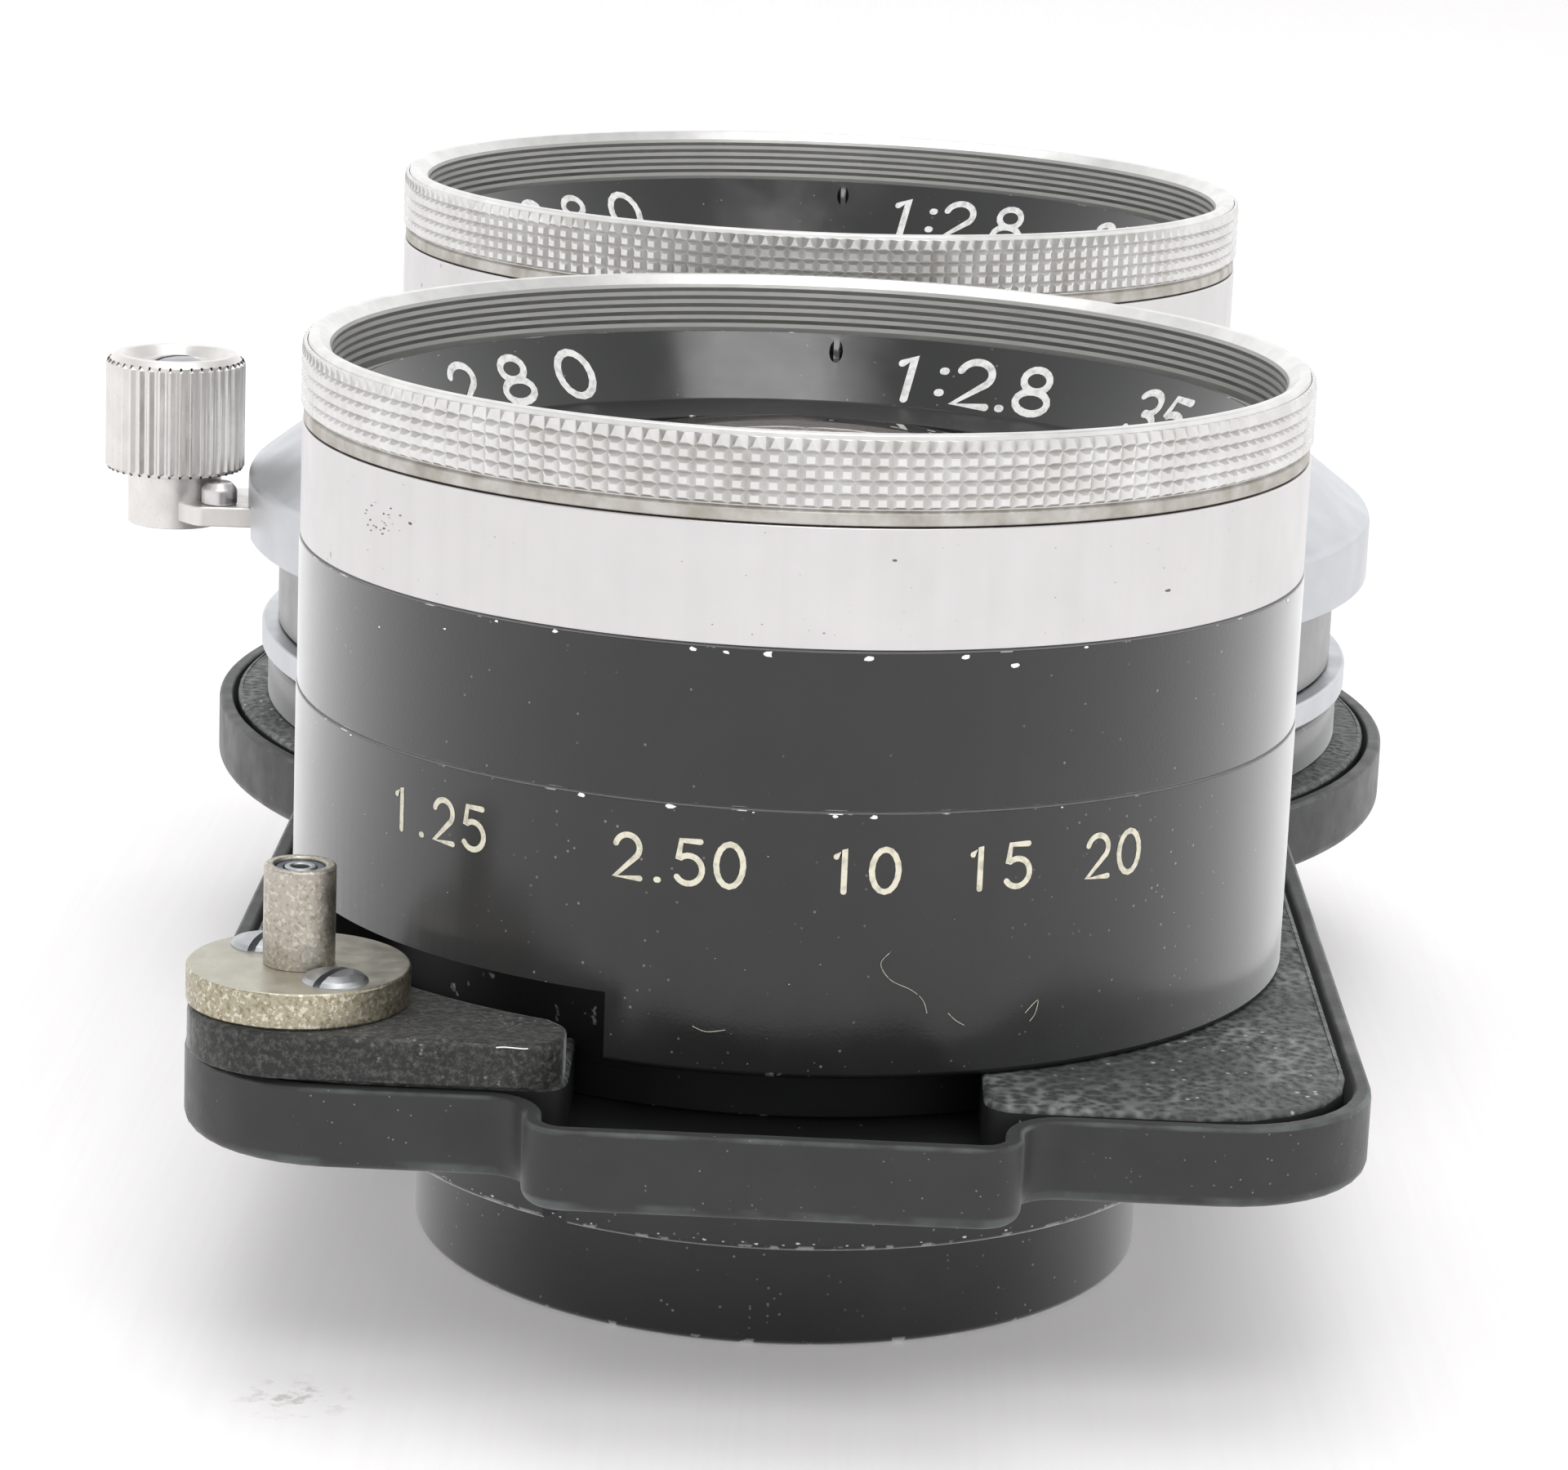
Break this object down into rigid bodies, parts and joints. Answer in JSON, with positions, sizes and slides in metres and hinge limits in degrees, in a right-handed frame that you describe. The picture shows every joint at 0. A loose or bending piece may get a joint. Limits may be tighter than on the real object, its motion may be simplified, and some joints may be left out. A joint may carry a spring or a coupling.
{
  "type": "twin-lens reflex lens set",
  "caption": "Twin-lens unit for a roll-film reflex camera: viewing lens and taking lens with leaf shutter on a dished lens board, with cocking knob and flash terminal.",
  "frame": {"origin": "on the lens board's flat rear face, midway between the two optical axes", "axes": "+Z along the optical axes towards the front of the lenses, +Y from the viewing lens to the taking lens along the board's length, +X across the board, away from the cocking knob and the flash terminal"},
  "size_m": [0.0764, 0.1182, 0.0464],
  "materials": {
    "black_anodised": "satin black, worn bright at the edges",
    "bright_aluminium": "satin turned aluminium, knurled rings",
    "nickel_plate": "dull nickel plate on brass, pitted",
    "screw_steel": "bright screw heads",
    "blade_steel": "blued spring steel",
    "leatherette": "fine crinkled black leatherette",
    "insulator": "moulded dark insulator",
    "coated_glass": "optical glass with a violet single coating"
  },
  "bodies": {
    "lens_set": {"lens_board": "black_anodised", "terminal_block": "black_anodised", "viewing_lock_ring": "black_anodised", "viewing_rear_barrel": "black_anodised", "viewing_rear_retainer": "black_anodised", "viewing_barrel": "black_anodised", "viewing_focus_ring": "black_anodised", "viewing_name_ring": "black_anodised", "viewing_cell": "black_anodised", "taking_lock_ring": "black_anodised", "taking_rear_barrel": "black_anodised", "taking_rear_retainer": "black_anodised", "taking_seat": "black_anodised", "taking_rear_cell": "black_anodised", "taking_barrel": "black_anodised", "taking_name_ring": "black_anodised", "taking_front_cell": "black_anodised", "shutter_blade_plate": "black_anodised", "viewing_band": "bright_aluminium", "viewing_filter_ring": "bright_aluminium", "shutter_back_plate": "bright_aluminium", "shutter_case": "bright_aluminium", "shutter_front_housing": "bright_aluminium", "taking_band": "bright_aluminium", "taking_filter_ring": "bright_aluminium", "terminal_flange": "nickel_plate", "terminal_shell": "nickel_plate", "terminal_contact": "nickel_plate", "terminal_screw_near": "screw_steel", "terminal_screw_far": "screw_steel", "viewing_set_screw": "screw_steel", "viewing_rear_element": "coated_glass", "viewing_front_element": "coated_glass", "viewing_middle_element": "coated_glass", "taking_rear_element": "coated_glass", "taking_rear_group": "coated_glass", "taking_front_element": "coated_glass", "taking_second_element": "coated_glass", "board_cover": "leatherette", "terminal_insulator": "insulator"},
    "cocking": {"cocking_lever": "nickel_plate", "cocking_stop_pin": "bright_aluminium", "cocking_knob": "nickel_plate", "cocking_knob_screw": "screw_steel"},
    "release": {"release_lever": "bright_aluminium"},
    "sync": {"sync_lever": "bright_aluminium"},
    "aperture": {"aperture_ring": "black_anodised"},
    "speed": {"speed_ring": "bright_aluminium"},
    "iris_blade_1_body": {"iris_blade_1": "blade_steel"},
    "iris_blade_2_body": {"iris_blade_2": "blade_steel"},
    "iris_blade_3_body": {"iris_blade_3": "blade_steel"},
    "iris_blade_4_body": {"iris_blade_4": "blade_steel"},
    "iris_blade_5_body": {"iris_blade_5": "blade_steel"},
    "shutter_blade_1_body": {"shutter_blade_1": "blade_steel"},
    "shutter_blade_2_body": {"shutter_blade_2": "blade_steel"},
    "shutter_blade_3_body": {"shutter_blade_3": "blade_steel"},
    "shutter_blade_4_body": {"shutter_blade_4": "blade_steel"},
    "shutter_blade_5_body": {"shutter_blade_5": "blade_steel"}
  },
  "joints": [
    {"name": "cocking_lever_turn", "type": "hinge", "parent": "lens_set", "child": "cocking", "pos_m": [0, 0.025, 0.0146], "axis": [0, 0, 1], "range_deg": [-58, 0], "stiffness_Nm_per_rad": 0.03, "springref_deg": 34.38},
    {"name": "release_lever_turn", "type": "hinge", "parent": "lens_set", "child": "release", "pos_m": [0.01094, 0.04957, 0.0128], "axis": [0, 0, 1], "range_deg": [0, 14], "stiffness_Nm_per_rad": 0.02, "springref_deg": -17.19},
    {"name": "sync_lever_turn", "type": "hinge", "parent": "lens_set", "child": "sync", "pos_m": [0.01887, 0.04596, 0.0145], "axis": [0, 0, 1], "range_deg": [-10, 10]},
    {"name": "aperture_turn", "type": "hinge", "parent": "lens_set", "child": "aperture", "pos_m": [0, 0.025, 0.0102], "axis": [0, 0, 1], "range_deg": [0, 40]},
    {"name": "speed_ring_turn", "type": "hinge", "parent": "lens_set", "child": "speed", "pos_m": [0, 0.025, 0.0225], "axis": [0, 0, 1], "range_deg": [-75, 60]},
    {"name": "iris_blade_1_turn", "type": "hinge", "parent": "lens_set", "child": "iris_blade_1_body", "pos_m": [0.015, 0.025, 0.00948], "axis": [0, 0, 1], "range_deg": [0, 40]},
    {"name": "iris_blade_2_turn", "type": "hinge", "parent": "lens_set", "child": "iris_blade_2_body", "pos_m": [0.00464, 0.03927, 0.00978], "axis": [0, 0, 1], "range_deg": [0, 40]},
    {"name": "iris_blade_3_turn", "type": "hinge", "parent": "lens_set", "child": "iris_blade_3_body", "pos_m": [-0.01213, 0.03382, 0.01008], "axis": [0, 0, 1], "range_deg": [0, 40]},
    {"name": "iris_blade_4_turn", "type": "hinge", "parent": "lens_set", "child": "iris_blade_4_body", "pos_m": [-0.01213, 0.01618, 0.01038], "axis": [0, 0, 1], "range_deg": [0, 40]},
    {"name": "iris_blade_5_turn", "type": "hinge", "parent": "lens_set", "child": "iris_blade_5_body", "pos_m": [0.00464, 0.01073, 0.01068], "axis": [0, 0, 1], "range_deg": [0, 40]},
    {"name": "shutter_blade_1_turn", "type": "hinge", "parent": "lens_set", "child": "shutter_blade_1_body", "pos_m": [0.01691, 0.03116, 0.01227], "axis": [0, 0, 1], "range_deg": [-44, 0], "stiffness_Nm_per_rad": 0.0005, "springref_deg": 17.19},
    {"name": "shutter_blade_2_turn", "type": "hinge", "parent": "lens_set", "child": "shutter_blade_2_body", "pos_m": [-0.00063, 0.04299, 0.01257], "axis": [0, 0, 1], "range_deg": [-44, 0]},
    {"name": "shutter_blade_3_turn", "type": "hinge", "parent": "lens_set", "child": "shutter_blade_3_body", "pos_m": [-0.0173, 0.02996, 0.01287], "axis": [0, 0, 1], "range_deg": [-44, 0]},
    {"name": "shutter_blade_4_turn", "type": "hinge", "parent": "lens_set", "child": "shutter_blade_4_body", "pos_m": [-0.01006, 0.01008, 0.01317], "axis": [0, 0, 1], "range_deg": [-44, 0]},
    {"name": "shutter_blade_5_turn", "type": "hinge", "parent": "lens_set", "child": "shutter_blade_5_body", "pos_m": [0.01108, 0.01082, 0.01348], "axis": [0, 0, 1], "range_deg": [-44, 0]}
  ],
  "couplings": [
    {"joint": "iris_blade_1_turn", "follows": "aperture_turn", "ratio": 1},
    {"joint": "iris_blade_2_turn", "follows": "aperture_turn", "ratio": 1},
    {"joint": "iris_blade_3_turn", "follows": "aperture_turn", "ratio": 1},
    {"joint": "iris_blade_4_turn", "follows": "aperture_turn", "ratio": 1},
    {"joint": "iris_blade_5_turn", "follows": "aperture_turn", "ratio": 1},
    {"joint": "shutter_blade_2_turn", "follows": "shutter_blade_1_turn", "ratio": 1},
    {"joint": "shutter_blade_3_turn", "follows": "shutter_blade_1_turn", "ratio": 1},
    {"joint": "shutter_blade_4_turn", "follows": "shutter_blade_1_turn", "ratio": 1},
    {"joint": "shutter_blade_5_turn", "follows": "shutter_blade_1_turn", "ratio": 1}
  ]
}
